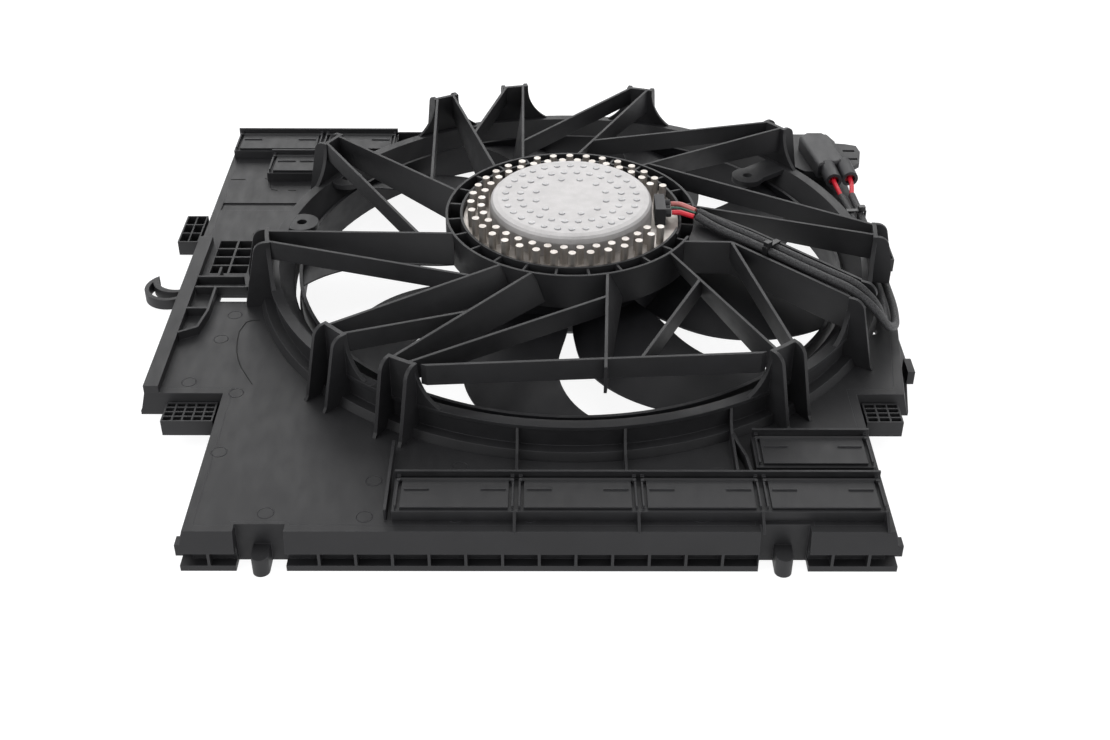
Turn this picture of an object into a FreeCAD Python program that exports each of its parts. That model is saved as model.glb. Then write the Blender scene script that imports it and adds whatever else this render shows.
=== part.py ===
"""Radiator cooling fan: a moulded shroud whose strut truss carries a brushless motor and a banded rotor.

Millimetres. The origin lies on the fan axis, in the plane of the rim's lower edge, where the shroud meets the
radiator. +Z runs along the fan axis towards the motor, +X to the side with the cable plug, +Y away from the
side with the two locating pegs.
"""

import FreeCAD, Part
import Sketcher
import math
import os
from FreeCAD import Matrix, Placement, Rotation, Vector

doc = FreeCAD.newDocument("radiator_fan")
sheet = doc.addObject("Spreadsheet::Sheet", "sheet")

UP = Vector(0, 0, 1)
STANDING = Placement(Vector(0, 0, 0), Rotation(Vector(1, 0, 0), 90))
FLAT = Placement()


class Size:
    """A length or an angle that keeps both its number and the sheet expression that it comes from."""

    def __init__(self, text, value):
        self.text = text
        self.value = float(value)

    def __add__(self, other):
        other = as_size(other)
        return Size(f"({self.text} + {other.text})", self.value + other.value)

    def __radd__(self, other):
        return as_size(other) + self

    def __sub__(self, other):
        other = as_size(other)
        return Size(f"({self.text} - {other.text})", self.value - other.value)

    def __rsub__(self, other):
        return as_size(other) - self

    def __mul__(self, factor):
        return Size(f"({self.text} * {factor})", self.value * factor)

    def __rmul__(self, factor):
        return self * factor

    def __truediv__(self, divisor):
        return Size(f"({self.text} / {divisor})", self.value / divisor)

    def __neg__(self):
        return Size(f"(0 - {self.text})", -self.value)


def as_size(item):
    return item if isinstance(item, Size) else Size(str(item), item)


rows = 0


def size(alias, value):
    """One driving dimension: a cell of the sheet with a name."""
    global rows
    rows += 1
    sheet.set(f"A{rows}", alias)
    sheet.set(f"B{rows}", str(value))
    sheet.setAlias(f"B{rows}", alias)
    return Size(f"sheet.{alias}", value)


# Shroud: the flat moulding and its rim, seen from the motor's side
left_wing = size("left_wing", 342)
right_wing = size("right_wing", 278)
front_left = size("front_left", 279)
front_right = size("front_right", 227)
front_reach = size("front_reach", 353)
back_reach = size("back_reach", 262)
wing_front = size("wing_front", 188)
wing_undercut = size("wing_undercut", 24)
corner_taper = size("corner_taper", 13)
taper_start = size("taper_start", 95)
rim_height = size("rim_height", 34)
panel_thickness = size("panel_thickness", 3)
rim_wall = size("rim_wall", 3)
rim_inset = size("rim_inset", 4)
band_flare = size("band_flare", 4)
pocket_top = size("pocket_top", 16)
flange_reach = size("flange_reach", 11)
flange_thickness = size("flange_thickness", 3.6)
foot_thickness = size("foot_thickness", 5)
side_flange_setback = size("side_flange_setback", 12)
side_flange_end_height = size("side_flange_end_height", 10)
rib_pitch = size("rib_pitch", 26)
rib_thickness = size("rib_thickness", 2)
border_width = size("border_width", 12)
border_rise = size("border_rise", 7)
border_back = size("border_back", 48)

# Pegs that locate the shroud's front edge, each in a notch of the rim
peg_width = size("peg_width", 12.5)
peg_overhang = size("peg_overhang", 10.5)
peg_height = size("peg_height", 15.5)
notch_width = size("notch_width", 36)
notch_depth = size("notch_depth", 8)
left_peg = size("left_peg", 225)
right_peg = size("right_peg", 149)

# Throat: the ring that the rotor turns in
throat_radius = size("throat_radius", 245)
throat_wall = size("throat_wall", 3)
throat_rise = size("throat_rise", 26)
lip_gap = size("lip_gap", 12)
lip_width = size("lip_width", 9)
ledge_rise = size("ledge_rise", 7)
ledge_width = size("ledge_width", 8.5)

# Towers and struts that carry the motor over the throat
tower_rise = size("tower_rise", 36)
tower_stand = size("tower_stand", 5)
tower_wall = size("tower_wall", 3.5)
tower_half_width = size("tower_half_width", 13)
tower_base_half = size("tower_base_half", 32)
gusset_thickness = size("gusset_thickness", 3)
gusset_spread = size("gusset_spread", 28)
strut_thickness = size("strut_thickness", 2.4)
strut_depth = size("strut_depth", 24)
strut_lean = size("strut_lean", 12)
channel_rib_depth = size("channel_rib_depth", 31)
brace_depth = size("brace_depth", 17)
strut_lead = size("strut_lead", 12)
root_spread = size("root_spread", 1.8)

# Motor carrier
carrier_radius = size("carrier_radius", 110)
carrier_wall = size("carrier_wall", 2.2)
carrier_gap = size("carrier_gap", 10.6)
carrier_depth = size("carrier_depth", 31)
carrier_seat_width = size("carrier_seat_width", 13)

# Motor
plate_thickness = size("plate_thickness", 5)
plate_drop = size("plate_drop", 7)
plate_clearance = size("plate_clearance", 0.6)
pin_radius = size("pin_radius", 3.2)
pin_height = size("pin_height", 16)
pin_margin = size("pin_margin", 7.5)
pin_row_pitch = size("pin_row_pitch", 9)
cover_margin = size("cover_margin", 24)
cover_height = size("cover_height", 21)
cover_wall = size("cover_wall", 2.5)
cover_edge = size("cover_edge", 7)
stud_radius = size("stud_radius", 2.3)
stud_height = size("stud_height", 0.7)
shaft_radius = size("shaft_radius", 5)
bearing_radius = size("bearing_radius", 11)
bearing_width = size("bearing_width", 7)
tube_wall = size("tube_wall", 3)
running_clearance = size("running_clearance", 0.05)
core_radius = size("core_radius", 61)
core_height = size("core_height", 16)
magnet_thickness = size("magnet_thickness", 3.5)
air_gap = size("air_gap", 1)
bell_wall = size("bell_wall", 3)
bell_depth = size("bell_depth", 33)
bell_gap = size("bell_gap", 5)

# Rotor
blade_count = 9
band_clearance = size("band_clearance", 4.5)
band_thickness = size("band_thickness", 3)
band_bottom = size("band_bottom", 20)
band_height = size("band_height", 30)
hub_radius = size("hub_radius", 90)
hub_wall = size("hub_wall", 3)
hub_bottom = size("hub_bottom", 22)
hub_height = size("hub_height", 36)
blade_thickness = size("blade_thickness", 2.6)
blade_high = size("blade_high", 47)
blade_low = size("blade_low", 33)

# Flaps that open when the car moves fast enough to push air through by itself
flap_length = size("flap_length", 79)
flap_depth = size("flap_depth", 34)
flap_thickness = size("flap_thickness", 1.6)
flap_clearance = size("flap_clearance", 0.8)
flap_seat = size("flap_seat", 2.5)
flap_rise = size("flap_rise", 9)
flap_gap = size("flap_gap", 0.4)
divider_width = size("divider_width", 9.5)
hinge_wall_rise = size("hinge_wall_rise", 16)
hinge_radius = size("hinge_radius", 1.5)
hinge_clearance = size("hinge_clearance", 0.08)
hinge_setback = size("hinge_setback", 3.4)

# Cable
sleeve_diameter = size("sleeve_diameter", 7)
wire_diameter = size("wire_diameter", 4.4)
signal_diameter = size("signal_diameter", 1.8)
channel_floor = size("channel_floor", 3)
channel_depth = size("channel_depth", 6)
plug_tube_radius = size("plug_tube_radius", 8)
plug_bore_radius = size("plug_bore_radius", 5)

doc.recompute()

panel_top = rim_height
lip_top = panel_top + throat_rise
strut_top = lip_top + tower_rise
plate_top = strut_top - plate_drop
plate_bottom = plate_top - plate_thickness
bell_top = plate_bottom - bell_gap
bell_bottom = bell_top - bell_depth
tube_radius = bearing_radius + tube_wall
bell_inner = core_radius + air_gap + magnet_thickness
band_outer = throat_radius - band_clearance
band_inner = band_outer - band_thickness
carrier_inner = carrier_radius - carrier_wall - carrier_gap - carrier_wall
outer_pin_circle = carrier_inner - pin_margin
inner_pin_circle = outer_pin_circle - pin_row_pitch
cover_radius = carrier_inner - cover_margin
platform_top = panel_top + 10
lip_radius = throat_radius + lip_gap
tower_radius = lip_radius + tower_stand
gusset_reach = tower_radius + gusset_spread
peg_reach = front_reach + peg_overhang
side_flange_start = front_reach - side_flange_setback


def bind(item, **sizes):
    """Ties properties of an object to the sheet."""
    for name, amount in sizes.items():
        item.setExpression(name, as_size(amount).text)
    return item


def move(item, x=0, y=0, z=0):
    for axis, amount in (("x", x), ("y", y), ("z", z)):
        item.setExpression(f"Placement.Base.{axis}", as_size(amount).text)
    return item


def box(name, x, y, z):
    """A block; x, y and z are each a pair of low and high sizes."""
    block = doc.addObject("Part::Box", name)
    bind(block, Length=as_size(x[1]) - x[0], Width=as_size(y[1]) - y[0], Height=as_size(z[1]) - z[0])
    return move(block, x[0], y[0], z[0])


def cylinder(name, radius, bottom, top, x=0, y=0):
    drum = doc.addObject("Part::Cylinder", name)
    bind(drum, Radius=radius, Height=as_size(top) - bottom)
    return move(drum, x, y, bottom)


def fuse(name, shapes):
    joined = doc.addObject("Part::MultiFuse", name)
    joined.Shapes = shapes
    return joined


def cut(name, base, tool):
    remainder = doc.addObject("Part::Cut", name)
    remainder.Base = base
    remainder.Tool = tool
    return remainder


def ring(name, outer, inner, bottom, top):
    outside = cylinder(f"{name}_outside", outer, bottom, top)
    return cut(name, outside, cylinder(f"{name}_inside", inner, bottom, top))


def draw(sketch, corners):
    """Straight lines through the corners, each corner held by two dimensions from the sketch's origin."""
    count = len(corners)
    points = [Vector(as_size(x).value, as_size(y).value, 0) for x, y in corners]
    for number, point in enumerate(points):
        sketch.addGeometry(Part.LineSegment(point, points[(number + 1) % count]), False)
    for number in range(count):
        sketch.addConstraint(Sketcher.Constraint("Coincident", number, 2, (number + 1) % count, 1))
    for number, corner in enumerate(corners):
        for kind, amount in zip(("DistanceX", "DistanceY"), corner):
            held = sketch.addConstraint(Sketcher.Constraint(kind, -1, 1, number, 1, as_size(amount).value))
            sketch.setExpression(f"Constraints[{held}]", as_size(amount).text)
    return sketch


def outline(name, corners, placement=FLAT):
    sketch = doc.addObject("Sketcher::SketchObject", name)
    sketch.Placement = placement
    return draw(sketch, corners)


def extrude(name, corners, bottom, top):
    """A flat outline raised from one height to another."""
    slab = doc.addObject("Part::Extrusion", name)
    slab.Base = outline(f"{name}_outline", corners)
    slab.DirMode = "Custom"
    slab.Dir = UP
    slab.Solid = True
    bind(slab, LengthFwd=as_size(top) - bottom)
    return move(slab, 0, 0, bottom)


def revolve(name, corners):
    """A profile of radius and height turned about the fan axis."""
    turned = doc.addObject("Part::Revolution", name)
    turned.Source = outline(f"{name}_profile", corners, STANDING)
    turned.Axis = UP
    turned.Base = Vector(0, 0, 0)
    turned.Angle = 360
    turned.Solid = True
    return turned


def body_sketch(body, name, role, corners):
    """A sketch of straight lines on one of a body's own origin planes."""
    sketch = body.newObject("Sketcher::SketchObject", name)
    plane = [item for item in body.Origin.OriginFeatures if item.Role == role][0]
    sketch.AttachmentSupport = [(plane, "")]
    sketch.MapMode = "FlatFace"
    return draw(sketch, corners)


def shaped(name, shape):
    """A solid worked out from the sheet's sizes where no primitive or feature fits."""
    feature = doc.addObject("Part::Feature", name)
    feature.Shape = shape
    feature.Placement = Placement()
    return feature


def at(radius, angle, height=0.0):
    turn = math.radians(angle)
    return Vector(radius * math.cos(turn), radius * math.sin(turn), height)


def tube_between(outer, inner, bottom, top):
    """A plain ring as a shape, for trimming."""
    height = top - bottom
    base = Vector(0, 0, bottom)
    return Part.makeCylinder(outer, height, base).cut(Part.makeCylinder(inner, height, base))


def turned(shape, angle):
    copy = shape.copy()
    copy.rotate(Vector(0, 0, 0), UP, angle)
    return copy


def polygon_prism(points, rise):
    return Part.Face(Part.makePolygon(points + [points[0]])).extrude(rise)


nodes = {}


def node(label, feature):
    feature.Label = label
    nodes[label] = feature
    return feature


def shroud_corners(offset, undercut=0):
    """The shroud's outline from above, moved outwards by an offset; the wings' fronts can be set back."""
    left = -left_wing - offset
    right = right_wing + offset
    front_west = -front_left - offset
    front_east = front_right + offset
    front = -front_reach - offset
    shoulder = -wing_front - offset + undercut
    back = back_reach + offset
    return [(front_west, front), (front_east, front), (front_east, shoulder), (right - corner_taper, shoulder),
            (right, -taper_start), (right, back), (left, back), (left, shoulder), (front_west, shoulder)]


# Vents: windows in the shroud, each closed by a flap that hangs on the wall behind it.
# Each row is the left end of a window, its length, and the line of its hinge wall.
front_wall_line = size("front_wall_line", 305)
second_wall_line = size("second_wall_line", 255)
rear_wall_line = size("rear_wall_line", 253)
rear_second_line = size("rear_second_line", 205)
front_row_left = size("front_row_left", 126.5)
front_pitch = flap_length + divider_width
rear_row_left = size("rear_row_left", 335)
rear_short_left = size("rear_short_left", 294)
rear_short_length = size("rear_short_length", 46)
rear_third_length = size("rear_third_length", 66)

front_windows = [(-front_row_left + front_pitch * number, flap_length, -front_wall_line) for number in range(4)]
front_windows.append((-front_row_left + front_pitch * 3, flap_length, -second_wall_line))
rear_windows = [(-rear_row_left, flap_length, rear_wall_line),
                (-rear_row_left + front_pitch, rear_third_length, rear_wall_line),
                (-rear_short_left, rear_short_length, rear_second_line)]


def wall_run(points, rise):
    """A thin upright wall along a line of points."""
    half = 1.1
    pieces = [Part.makeCylinder(half, rise, point) for point in points]
    for start, end in zip(points, points[1:]):
        along = (end - start).normalize()
        side = UP.cross(along) * half
        pieces.append(polygon_prism([start - side, end - side, end + side, start + side], Vector(0, 0, rise)))
    return pieces[0].multiFuse(pieces[1:]).removeSplitter()


throat_rib_places = (-43, 38, 120)
groove_front = size("groove_front", 110)
groove_width = size("groove_width", 14)
groove_depth = size("groove_depth", 1.4)
groove_right = size("groove_right", 262)


def throat_rib(across):
    """An upright rib from the throat's lip over its ledge and along the panel to the first hinge wall."""
    lip = -math.sqrt((lip_radius + lip_width).value ** 2 - across ** 2)
    wall = -front_wall_line.value + 2
    foot = panel_top.value
    crest = lip_top.value - 3
    side = [(wall, foot), (wall, foot + 9), (lip - 15, foot + 10), (lip - 5, foot + 15), (lip, crest),
            (lip + 12, crest), (lip + 12, foot)]
    rib = polygon_prism([Vector(across - 1, y, z) for y, z in side], Vector(2, 0, 0))
    return rib.cut(throat_envelope())


def notch_span(middle, margin=0):
    """Left and right end of the notch round a peg."""
    return (middle - notch_width / 2 - margin, middle + notch_width / 2 + margin)


def make_panel():
    """The flat plate inside the rim, with the throat hole and an opening under each vent."""
    plate_corners = shroud_corners(-rim_inset - rim_wall)
    plate = extrude("panel_plate", plate_corners, panel_top - panel_thickness, panel_top)
    openings = [cylinder("throat_hole", lip_radius + throat_wall, 0, panel_top * 2)]
    for number, (left, length, line) in enumerate(front_windows + rear_windows):
        openings.append(box(f"vent_hole_{number}", (left + flap_seat, left + length - flap_seat),
                            (line - flap_depth + flap_seat, line - flap_seat), (0, panel_top * 2)))
    openings.append(box("grid_hole", (-grid_right - grid_width, -grid_right), (-grid_front, grid_back),
                        (0, panel_top * 2)))
    openings.append(box("wing_window", (-window_right - window_width, -window_right),
                        (-window_front - window_depth, -window_front), (0, panel_top * 2)))
    openings.append(cylinder("wing_hole", 4, 0, panel_top * 2, 256, -98))
    groove_back = groove_front + groove_width
    openings.append(box("wing_groove", (-left_wing, -groove_right), (groove_front, groove_back),
                        (panel_top - groove_depth, panel_top * 2)))
    openings.append(cylinder("pip_hole", 3.5, 0, panel_top * 2, -293, 64))
    for name, middle in (("left", -left_peg), ("right", right_peg)):
        openings.append(box(f"{name}_peg_clearance", notch_span(middle, rim_wall),
                            (-front_reach, -front_reach + notch_depth + rim_wall), (0, panel_top * 2)))
    pierced = cut("pierced_panel", plate, fuse("panel_openings", openings))
    top = panel_top.value
    runs = [([(-136, -262), (-136, -340)], 10), ([(121, -251), (123, -262), (128, -279), (130, -299)], 10),
            ([(-328, -41), (-284, -41)], 8), ([(-311, -41), (-311, -79), (-315, -104), (-329, -112)], 8),
            ([(-329, -75), (-311, -75)], 8), ([(-329, -24), (-290, -24)], 8), ([(-312, -9), (-312, -24)], 8)]
    walls = [wall_run([Vector(x, y, top) for x, y in points], rise) for points, rise in runs]
    walls.extend(throat_rib(place) for place in throat_rib_places)
    ribs = shaped("panel_ribs", walls[0].multiFuse(walls[1:]))
    back = box("back_wall", (-175.5, -140), (rear_wall_line, rear_wall_line + 2), (panel_top, panel_top + 12))
    node("shroud_panel", fuse("panel", [pierced, ribs, back]))


grid_right = size("grid_right", 289)
grid_width = size("grid_width", 37)
grid_front = size("grid_front", 8)
grid_back = size("grid_back", 53)
grid_depth = size("grid_depth", 22)
window_right = size("window_right", 283)
window_width = size("window_width", 24)
window_front = size("window_front", 42.5)
window_depth = size("window_depth", 10.5)


def rim_ribs():
    """Small upright ribs in the groove all round the rim, at an even pitch along each side."""
    corners = [Vector(x.value, y.value, flange_thickness.value)
               for x, y in shroud_corners(-rim_inset, wing_undercut)]
    reach = (rim_inset + band_flare).value
    rise = pocket_top.value - flange_thickness.value
    thickness = rib_thickness.value
    shapes = []
    for number, start in enumerate(corners):
        if number in (2, 7):
            continue
        end = corners[(number + 1) % len(corners)]
        along = (end - start).normalize()
        outward = along.cross(UP)
        length = (end - start).Length
        count = int(length // rib_pitch.value)
        for place in range(count):
            middle = start + along * ((place + 0.5) * length / count)
            near = middle - along * (thickness / 2)
            far = middle + along * (thickness / 2)
            shapes.append(polygon_prism([near, near + outward * reach, far + outward * reach, far],
                                        Vector(0, 0, rise)))
    return shapes


def make_rim():
    """The wall round the shroud: a sloped band, a ribbed groove under it and a flange at its foot."""
    cornice = doc.addObject("Part::Loft", "rim_cornice")
    foot = outline("rim_cornice_foot", shroud_corners(band_flare))
    move(foot, 0, 0, pocket_top)
    head = outline("rim_cornice_head", shroud_corners(0))
    move(head, 0, 0, panel_top)
    cornice.Sections = [foot, head]
    cornice.Solid = True
    cornice.Ruled = True
    wall = extrude("rim_wall_body", shroud_corners(-rim_inset, wing_undercut), 0, pocket_top)
    foot_flange = extrude("rim_foot", shroud_corners(band_flare, wing_undercut), 0, foot_thickness)
    wide_flange = extrude("rim_flange", shroud_corners(flange_reach, wing_undercut + 4), 0, flange_thickness)
    ahead = box("before_side_flange", (-left_wing * 2, left_wing * 2), (-front_reach * 2, -side_flange_start),
                (-rim_height, rim_height))
    flange = fuse("rim_flanges", [foot_flange, cut("rim_side_flange", wide_flange, ahead)])
    end_spans = [("left", (-front_left - flange_reach, -front_left + rim_inset)),
                 ("right", (front_right - rim_inset, front_right + flange_reach))]
    end_depth = (-side_flange_start, -side_flange_start + 10)
    ends = [box(f"{name}_flange_end", span, end_depth, (0, side_flange_end_height)) for name, span in end_spans]
    ribs = shaped("rim_ribs", Part.makeCompound(rim_ribs()))
    border = box("wing_border", (-left_wing, -left_wing + border_width), (-wing_front, border_back),
                 (panel_top, panel_top + border_rise))
    ear = extrude("corner_ear", [(right_wing - 2, 256), (290, 254), (301, 250), (303, 236), (298, 211), (284, 197),
                                 (right_wing - 2, 197)], panel_top - 5, panel_top)
    whole = fuse("rim_whole", [cornice, wall, flange, ribs, border, ear] + ends)
    upper = extrude("rim_inside", shroud_corners(-rim_inset - rim_wall), pocket_top, panel_top)
    lower = extrude("rim_inside_low", shroud_corners(-rim_inset - rim_wall, wing_undercut), 0, pocket_top)
    slots = [box(f"ear_slot_{number}", (285.5, 297.5), (middle - 2, middle + 2), (20, panel_top + 5))
             for number, middle in enumerate((238, 220))]
    hollow = cut("rim_hollow", whole, fuse("rim_voids", [upper, lower] + slots))
    removed = []
    backing = []
    pegs = []
    notch_face = -front_reach + notch_depth
    for name, middle in (("left", -left_peg), ("right", right_peg)):
        removed.append(box(f"{name}_notch", notch_span(middle), (-front_reach - 20, notch_face),
                           (-rim_height, rim_height * 2)))
        backing.append(box(f"{name}_notch_back", notch_span(middle, rim_wall),
                           (-front_reach + rim_inset, notch_face + rim_wall), (0, panel_top)))
        peg = box(f"{name}_peg_body", (middle - peg_width / 2, middle + peg_width / 2),
                  (-peg_reach + peg_width / 2, notch_face), (0, peg_height))
        nose = cylinder(f"{name}_peg_nose", peg_width / 2, 0, peg_height, middle, -peg_reach + peg_width / 2)
        pegs.extend([peg, nose])
    notched = cut("rim_notched", fuse("rim_backed", [hollow] + backing), fuse("rim_notches", removed))
    node("shroud_rim", fuse("rim", [notched] + pegs))


def throat_corners():
    """The throat's outside, from its lower inner edge over the lip to its foot on the panel."""
    lip_outer = lip_radius + lip_width
    outer = lip_outer - 2.5
    ledge_outer = outer + ledge_width
    return [(throat_radius, panel_top + 10), (throat_radius + 6, panel_top + 18), (lip_radius, lip_top),
            (lip_outer, lip_top), (lip_outer, lip_top - throat_wall), (outer, lip_top - throat_wall),
            (outer, panel_top + ledge_rise), (ledge_outer, panel_top + ledge_rise),
            (ledge_outer + throat_wall, panel_top)]


def make_throat():
    """A bell-mouthed ring, hollow from below, that stands on the panel."""
    inner = lip_radius + lip_width - 2.5 - throat_wall
    low = panel_top - 4
    under = [(inner, panel_top), (inner, lip_top - throat_wall), (lip_radius + 1.8, lip_top - throat_wall),
             (throat_radius + 6 + throat_wall, panel_top + 17), (throat_radius + throat_wall, panel_top + 9),
             (throat_radius + throat_wall, low), (throat_radius, low)]
    node("throat_ring", revolve("throat", throat_corners() + under))


def throat_envelope():
    points = [Vector(as_size(x).value, 0, as_size(z).value) for x, z in throat_corners()]
    points.append(Vector(points[-1].x, 0, 0))
    points.append(Vector(throat_radius.value, 0, 0))
    return Part.Face(Part.makePolygon(points + [points[0]])).revolve(Vector(0, 0, 0), UP, 360)


# Towers in order round the throat: name, angle, and how far along the next tower's strut its brace lands
towers = [("cable", size("tower_angle_1", -29.3), None), ("b", size("tower_angle_2", -7.2), 0.95),
          ("c", size("tower_angle_3", 40.3), 0.8), ("d", size("tower_angle_4", 73.8), 0.78),
          ("e", size("tower_angle_5", 101.7), 0.55), ("f", size("tower_angle_6", 117.8), 0.8),
          ("g", size("tower_angle_7", 148.6), 0.81), ("h", size("tower_angle_8", 189.8), 0.81),
          ("i", size("tower_angle_9", 225.3), 0.52), ("j", size("tower_angle_10", 240.4), None),
          ("k", size("tower_angle_11", 307.4), None)]
cable_tower_half = size("cable_tower_half", 16)


def gusset(offset):
    """An upright fin that runs out from the tower's wall and down to the panel, with a round shoulder."""
    inner = tower_radius.value
    reach = gusset_reach.value
    top = strut_top.value
    foot = panel_top.value
    round_end = Vector(inner + 14, 0, top - 7)
    knee = Vector(reach - 2.5, 0, foot + 4)
    edges = [Part.LineSegment(Vector(inner, 0, foot), Vector(inner, 0, top)),
             Part.LineSegment(Vector(inner, 0, top), Vector(inner + 5, 0, top)),
             Part.Arc(Vector(inner + 5, 0, top), Vector(inner + 10.5, 0, top - 2), round_end),
             Part.LineSegment(round_end, knee),
             Part.LineSegment(knee, Vector(reach, 0, foot)),
             Part.LineSegment(Vector(reach, 0, foot), Vector(inner, 0, foot))]
    fin = Part.Face(Part.Wire([edge.toShape() for edge in edges]))
    thickness = gusset_thickness.value
    fin.translate(Vector(0, offset - thickness / 2, 0))
    return fin.extrude(Vector(0, thickness, 0))


def tower_shape(half, wall_top):
    """One tower at angle zero: a curved wall that flares down to the lip, and two fins behind it."""
    base = lip_top.value
    low = panel_top.value
    flare = tower_base_half.value - tower_half_width.value + half
    inner = tower_radius.value
    outer = inner + tower_wall.value
    rise = wall_top - base

    def side(sign):
        return [Part.Arc(Vector(inner - 20, sign * half, wall_top),
                         Vector(inner - 20, sign * (half + (flare - half) * 0.28), base + rise * 0.38),
                         Vector(inner - 20, sign * flare, base))]

    edges = side(1)
    edges.append(Part.LineSegment(Vector(inner - 20, flare, base), Vector(inner - 20, -flare, base)))
    edges.extend(side(-1))
    edges.append(Part.LineSegment(Vector(inner - 20, -half, wall_top), Vector(inner - 20, half, wall_top)))
    wall = Part.Face(Part.Wire(Part.__sortEdges__([edge.toShape() for edge in edges])))
    wall = wall.extrude(Vector(50, 0, 0)).common(tube_between(outer, inner, low, strut_top.value))
    fin_offset = half - gusset_thickness.value / 2
    fins = gusset(fin_offset).fuse(gusset(-fin_offset))
    fins = fins.cut(Part.makeCylinder(inner, strut_top.value * 2))
    return wall.fuse(fins).cut(throat_envelope()).removeSplitter()


def make_towers():
    plain = tower_shape(tower_half_width.value, strut_top.value)
    wide = tower_shape(cable_tower_half.value, (strut_top - channel_depth - channel_floor * 2).value)
    shapes = [turned(wide if name == "cable" else plain, angle.value) for name, angle, _ in towers]
    near_wall = tower_radius.value
    passage = Part.makeBox(60, 170, 17, Vector(near_wall - 1, -150, panel_top.value))
    crossing = Part.makeBox(60, 9, 52.5, Vector(near_wall + 4.5, 10, panel_top.value))
    crossing = turned(crossing, towers[0][1].value)
    grid_side = Part.makeBox(60, 200, 200, Vector(-grid_right.value - 52, -150, 0))
    beyond = Part.makeBox(60, 400, 200, Vector(right_wing.value - 1, -200, 0))
    shapes[0] = largest(shapes[0].cut(crossing))
    shapes[1] = largest(shapes[1].cut(passage).cut(beyond))
    shapes[7] = largest(shapes[7].cut(grid_side))
    node("strut_towers", shaped("towers", Part.makeCompound(shapes)))
    return shapes


def plank(start, end, depth, thickness, start_lean=0.0, end_lean=0.0):
    """A plate between two points, its top edge level with the towers' tops; its foot can lean to one side."""
    along = (end - start).normalize()
    across = UP.cross(along)
    side = across * (thickness / 2)
    top = Vector(0, 0, strut_top.value)
    ends = []
    for place, lean in ((start, start_lean), (end, end_lean)):
        foot = Vector(0, 0, strut_top.value - depth) - across * lean
        corners = [place + side + top, place - side + top, place - side + foot, place + side + foot]
        ends.append(Part.makePolygon(corners + [corners[0]]))
    return Part.makeLoft(ends, True, True)


def largest(shape):
    return max(shape.Solids, key=lambda solid: solid.Volume)


def strut_ends(number):
    angle = towers[number][1].value
    return (at(tower_radius.value + 4, angle - root_spread.value),
            at(carrier_radius.value - 2, angle + strut_lead.value))


def beyond(start, end, distance):
    """The end of a line carried on by a distance."""
    return end + (end - start).normalize() * distance


def share_point(ends, share):
    return ends[0] + (ends[1] - ends[0]) * share


chord_meet = size("chord_meet", 0.53)
chord_brace_meet = size("chord_brace_meet", 0.63)
centre_strut_angle = size("centre_strut_angle", -74.5)
chord_depth = size("chord_depth", 18)


def make_struts():
    """The truss: a strut from each tower to the carrier, and braces between the struts."""
    field = tube_between(tower_radius.value, carrier_radius.value, 0, strut_top.value)
    thickness = strut_thickness.value
    tall = strut_depth.value
    short = brace_depth.value
    lean = strut_lean.value
    over = lean * 2
    count = len(towers)
    mains = []
    for number in range(1, count):
        start, end = strut_ends(number)
        mains.append(largest(plank(start, end, tall, thickness, 0, lean).common(field)))
    left_root = at(tower_radius.value + 4, towers[9][1].value + root_spread.value * 1.4)
    right_root = at(tower_radius.value + 4, towers[10][1].value - root_spread.value * 1.4)
    chord = plank(left_root, right_root, chord_depth.value, thickness).common(field)
    middle_top = at(carrier_radius.value - 2, centre_strut_angle.value)
    middle_foot = left_root + (right_root - left_root) * chord_meet.value
    middle = plank(middle_top, beyond(middle_top, middle_foot, lean), tall, thickness, -lean, 0).common(field)
    braces = []

    def add(shape):
        for other in mains + braces:
            if shape.BoundBox.intersect(other.BoundBox):
                shape = shape.cut(other)
        braces.append(largest(shape))

    add(chord)
    add(middle)
    for number in range(1, count - 2):
        angle = towers[number][1].value
        root = at(tower_radius.value + 4, angle + root_spread.value)
        landing = share_point(strut_ends(number + 1), towers[number][2])
        add(plank(root, beyond(root, landing, over), short, thickness).common(field))
    last_left = at(tower_radius.value + 4, towers[9][1].value + root_spread.value * 0.6)
    middle_landing = share_point((middle_top, middle_foot), 0.29)
    add(plank(last_left, beyond(last_left, middle_landing, lean), short, thickness).common(field))
    right_main = strut_ends(10)
    chord_point = left_root + (right_root - left_root) * chord_brace_meet.value
    right_landing = share_point(right_main, 0.7)
    add(plank(beyond(chord_point, right_landing, lean), chord_point, short, thickness).common(field))
    last_right = at(tower_radius.value + 4, towers[10][1].value + root_spread.value)
    add(plank(last_right, channel_corner, short, thickness).common(field))
    node("main_struts", shaped("struts", Part.makeCompound(mains)))
    node("brace_struts", shaped("braces", Part.makeCompound(braces)))
    return mains + braces


channel_corner = Vector(136, -54, 0)
upper_corner = Vector(155, -33, 0)


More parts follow.
